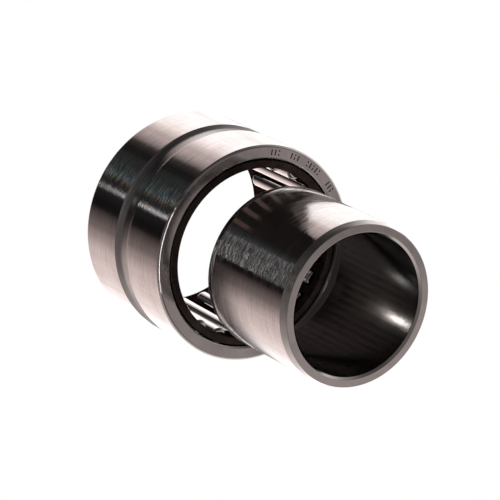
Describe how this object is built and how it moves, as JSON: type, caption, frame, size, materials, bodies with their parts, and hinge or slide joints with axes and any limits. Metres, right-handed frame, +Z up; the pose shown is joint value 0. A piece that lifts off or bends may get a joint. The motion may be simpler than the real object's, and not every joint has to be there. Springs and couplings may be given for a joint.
{
  "type": "needle roller bearing",
  "caption": "Needle roller bearing with a flanged outer ring, a caged needle set and a separable inner ring drawn out along the axis; it slides home until the rings are flush.",
  "frame": {"origin": "centre of the outer ring, on the bearing axis, midway between its two faces", "axes": "+Y along the bearing axis, from the outer ring's marked front face towards its back face, which is the way the inner ring is pushed home; +Z up"},
  "size_m": [0.047, 0.0693, 0.047],
  "materials": {
    "ring_steel": "ground, with fine marks around the ring",
    "raceway_steel": "finely ground and honed, glossier than the outer ring",
    "roller_steel": "lapped, near mirror",
    "cage_steel": "dark brown-black phosphated, soft sheen"
  },
  "bodies": {
    "outer_ring": {"outer_ring": "ring_steel"},
    "inner_ring": {"inner_ring": "raceway_steel"},
    "cage": {"cage": "cage_steel"},
    "needle_roller_01": {"needle_roller_01": "roller_steel"},
    "needle_roller_02": {"needle_roller_02": "roller_steel"},
    "needle_roller_03": {"needle_roller_03": "roller_steel"},
    "needle_roller_04": {"needle_roller_04": "roller_steel"},
    "needle_roller_05": {"needle_roller_05": "roller_steel"},
    "needle_roller_06": {"needle_roller_06": "roller_steel"},
    "needle_roller_07": {"needle_roller_07": "roller_steel"},
    "needle_roller_08": {"needle_roller_08": "roller_steel"},
    "needle_roller_09": {"needle_roller_09": "roller_steel"},
    "needle_roller_10": {"needle_roller_10": "roller_steel"},
    "needle_roller_11": {"needle_roller_11": "roller_steel"},
    "needle_roller_12": {"needle_roller_12": "roller_steel"},
    "needle_roller_13": {"needle_roller_13": "roller_steel"},
    "needle_roller_14": {"needle_roller_14": "roller_steel"},
    "needle_roller_15": {"needle_roller_15": "roller_steel"},
    "needle_roller_16": {"needle_roller_16": "roller_steel"},
    "needle_roller_17": {"needle_roller_17": "roller_steel"},
    "needle_roller_18": {"needle_roller_18": "roller_steel"},
    "needle_roller_19": {"needle_roller_19": "roller_steel"},
    "needle_roller_20": {"needle_roller_20": "roller_steel"},
    "needle_roller_21": {"needle_roller_21": "roller_steel"},
    "needle_roller_22": {"needle_roller_22": "roller_steel"}
  },
  "joints": [
    {"name": "inner_ring_slide", "type": "slide", "parent": "cage", "child": "inner_ring", "axis": [0, 1, 0], "range_m": [0, 0.0393]},
    {"name": "inner_ring_and_cage_spin", "type": "hinge", "parent": "outer_ring", "child": "cage", "pos_m": [0, 0, 0], "axis": [0, 1, 0], "continuous": true},
    {"name": "needle_roller_01_spin", "type": "hinge", "parent": "cage", "child": "needle_roller_01", "pos_m": [0.01581, 0, 0.01099], "axis": [0, 1, 0], "continuous": true},
    {"name": "needle_roller_02_spin", "type": "hinge", "parent": "cage", "child": "needle_roller_02", "pos_m": [0.01207, 0, 0.01499], "axis": [0, 1, 0], "continuous": true},
    {"name": "needle_roller_03_spin", "type": "hinge", "parent": "cage", "child": "needle_roller_03", "pos_m": [0.00736, 0, 0.01779], "axis": [0, 1, 0], "continuous": true},
    {"name": "needle_roller_04_spin", "type": "hinge", "parent": "cage", "child": "needle_roller_04", "pos_m": [0.00205, 0, 0.01914], "axis": [0, 1, 0], "continuous": true},
    {"name": "needle_roller_05_spin", "type": "hinge", "parent": "cage", "child": "needle_roller_05", "pos_m": [-0.00343, 0, 0.01894], "axis": [0, 1, 0], "continuous": true},
    {"name": "needle_roller_06_spin", "type": "hinge", "parent": "cage", "child": "needle_roller_06", "pos_m": [-0.00862, 0, 0.01721], "axis": [0, 1, 0], "continuous": true},
    {"name": "needle_roller_07_spin", "type": "hinge", "parent": "cage", "child": "needle_roller_07", "pos_m": [-0.01312, 0, 0.01408], "axis": [0, 1, 0], "continuous": true},
    {"name": "needle_roller_08_spin", "type": "hinge", "parent": "cage", "child": "needle_roller_08", "pos_m": [-0.01656, 0, 0.00981], "axis": [0, 1, 0], "continuous": true},
    {"name": "needle_roller_09_spin", "type": "hinge", "parent": "cage", "child": "needle_roller_09", "pos_m": [-0.01865, 0, 0.00475], "axis": [0, 1, 0], "continuous": true},
    {"name": "needle_roller_10_spin", "type": "hinge", "parent": "cage", "child": "needle_roller_10", "pos_m": [-0.01924, 0, -0.0007], "axis": [0, 1, 0], "continuous": true},
    {"name": "needle_roller_11_spin", "type": "hinge", "parent": "cage", "child": "needle_roller_11", "pos_m": [-0.01826, 0, -0.00609], "axis": [0, 1, 0], "continuous": true},
    {"name": "needle_roller_12_spin", "type": "hinge", "parent": "cage", "child": "needle_roller_12", "pos_m": [-0.01581, 0, -0.01099], "axis": [0, 1, 0], "continuous": true},
    {"name": "needle_roller_13_spin", "type": "hinge", "parent": "cage", "child": "needle_roller_13", "pos_m": [-0.01207, 0, -0.01499], "axis": [0, 1, 0], "continuous": true},
    {"name": "needle_roller_14_spin", "type": "hinge", "parent": "cage", "child": "needle_roller_14", "pos_m": [-0.00736, 0, -0.01779], "axis": [0, 1, 0], "continuous": true},
    {"name": "needle_roller_15_spin", "type": "hinge", "parent": "cage", "child": "needle_roller_15", "pos_m": [-0.00205, 0, -0.01914], "axis": [0, 1, 0], "continuous": true},
    {"name": "needle_roller_16_spin", "type": "hinge", "parent": "cage", "child": "needle_roller_16", "pos_m": [0.00343, 0, -0.01894], "axis": [0, 1, 0], "continuous": true},
    {"name": "needle_roller_17_spin", "type": "hinge", "parent": "cage", "child": "needle_roller_17", "pos_m": [0.00862, 0, -0.01721], "axis": [0, 1, 0], "continuous": true},
    {"name": "needle_roller_18_spin", "type": "hinge", "parent": "cage", "child": "needle_roller_18", "pos_m": [0.01312, 0, -0.01408], "axis": [0, 1, 0], "continuous": true},
    {"name": "needle_roller_19_spin", "type": "hinge", "parent": "cage", "child": "needle_roller_19", "pos_m": [0.01656, 0, -0.00981], "axis": [0, 1, 0], "continuous": true},
    {"name": "needle_roller_20_spin", "type": "hinge", "parent": "cage", "child": "needle_roller_20", "pos_m": [0.01865, 0, -0.00475], "axis": [0, 1, 0], "continuous": true},
    {"name": "needle_roller_21_spin", "type": "hinge", "parent": "cage", "child": "needle_roller_21", "pos_m": [0.01924, 0, 0.0007], "axis": [0, 1, 0], "continuous": true},
    {"name": "needle_roller_22_spin", "type": "hinge", "parent": "cage", "child": "needle_roller_22", "pos_m": [0.01826, 0, 0.00609], "axis": [0, 1, 0], "continuous": true}
  ],
  "couplings": [
    {"joint": "needle_roller_01_spin", "follows": "inner_ring_and_cage_spin", "ratio": -12},
    {"joint": "needle_roller_02_spin", "follows": "inner_ring_and_cage_spin", "ratio": -12},
    {"joint": "needle_roller_03_spin", "follows": "inner_ring_and_cage_spin", "ratio": -12},
    {"joint": "needle_roller_04_spin", "follows": "inner_ring_and_cage_spin", "ratio": -12},
    {"joint": "needle_roller_05_spin", "follows": "inner_ring_and_cage_spin", "ratio": -12},
    {"joint": "needle_roller_06_spin", "follows": "inner_ring_and_cage_spin", "ratio": -12},
    {"joint": "needle_roller_07_spin", "follows": "inner_ring_and_cage_spin", "ratio": -12},
    {"joint": "needle_roller_08_spin", "follows": "inner_ring_and_cage_spin", "ratio": -12},
    {"joint": "needle_roller_09_spin", "follows": "inner_ring_and_cage_spin", "ratio": -12},
    {"joint": "needle_roller_10_spin", "follows": "inner_ring_and_cage_spin", "ratio": -12},
    {"joint": "needle_roller_11_spin", "follows": "inner_ring_and_cage_spin", "ratio": -12},
    {"joint": "needle_roller_12_spin", "follows": "inner_ring_and_cage_spin", "ratio": -12},
    {"joint": "needle_roller_13_spin", "follows": "inner_ring_and_cage_spin", "ratio": -12},
    {"joint": "needle_roller_14_spin", "follows": "inner_ring_and_cage_spin", "ratio": -12},
    {"joint": "needle_roller_15_spin", "follows": "inner_ring_and_cage_spin", "ratio": -12},
    {"joint": "needle_roller_16_spin", "follows": "inner_ring_and_cage_spin", "ratio": -12},
    {"joint": "needle_roller_17_spin", "follows": "inner_ring_and_cage_spin", "ratio": -12},
    {"joint": "needle_roller_18_spin", "follows": "inner_ring_and_cage_spin", "ratio": -12},
    {"joint": "needle_roller_19_spin", "follows": "inner_ring_and_cage_spin", "ratio": -12},
    {"joint": "needle_roller_20_spin", "follows": "inner_ring_and_cage_spin", "ratio": -12},
    {"joint": "needle_roller_21_spin", "follows": "inner_ring_and_cage_spin", "ratio": -12},
    {"joint": "needle_roller_22_spin", "follows": "inner_ring_and_cage_spin", "ratio": -12}
  ]
}
